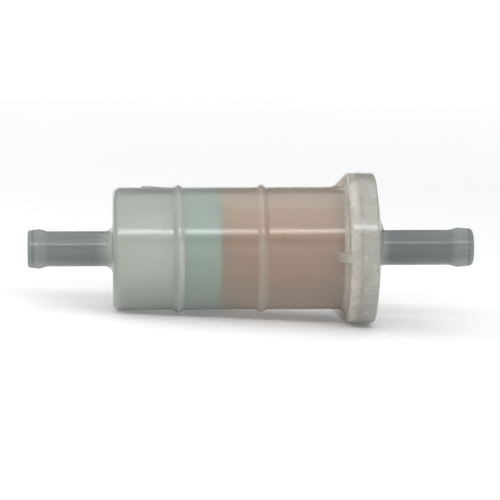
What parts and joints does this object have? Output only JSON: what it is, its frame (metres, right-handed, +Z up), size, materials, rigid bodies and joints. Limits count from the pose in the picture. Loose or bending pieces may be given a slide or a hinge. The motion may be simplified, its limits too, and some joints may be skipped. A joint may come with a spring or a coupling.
{
  "type": "in-line fuel filter",
  "caption": "Milky in-line fuel filter with beaded hose nipples, a ribbed body, a welded flange cap and a pleated paper element.",
  "frame": {"origin": "on the flow axis, halfway between the two nipple tips", "axes": "+X along the flow axis from the inlet nipple to the outlet nipple, +Z up, through the flow arrow on top"},
  "size_m": [0.105, 0.0358, 0.0358],
  "materials": {
    "milky_nylon": "satin translucent moulding",
    "weld_nylon": "fused plastic, slightly rough",
    "green_plastic": "satin moulding",
    "filter_paper": "resin-treated pleated paper",
    "adhesive": "cast adhesive",
    "white_nylon": "natural moulding",
    "seal_rubber": "smooth moulded rubber"
  },
  "bodies": {
    "root": {"housing_shell": "milky_nylon", "outlet_cap": "milky_nylon", "weld_bead": "weld_nylon", "element_end_cup": "green_plastic", "inlet_potting": "adhesive", "pleated_media": "filter_paper", "media_seam": "adhesive", "core_tube": "white_nylon", "outlet_potting": "adhesive", "element_end_plate": "white_nylon", "outlet_seal_ring": "seal_rubber"}
  },
  "joints": []
}
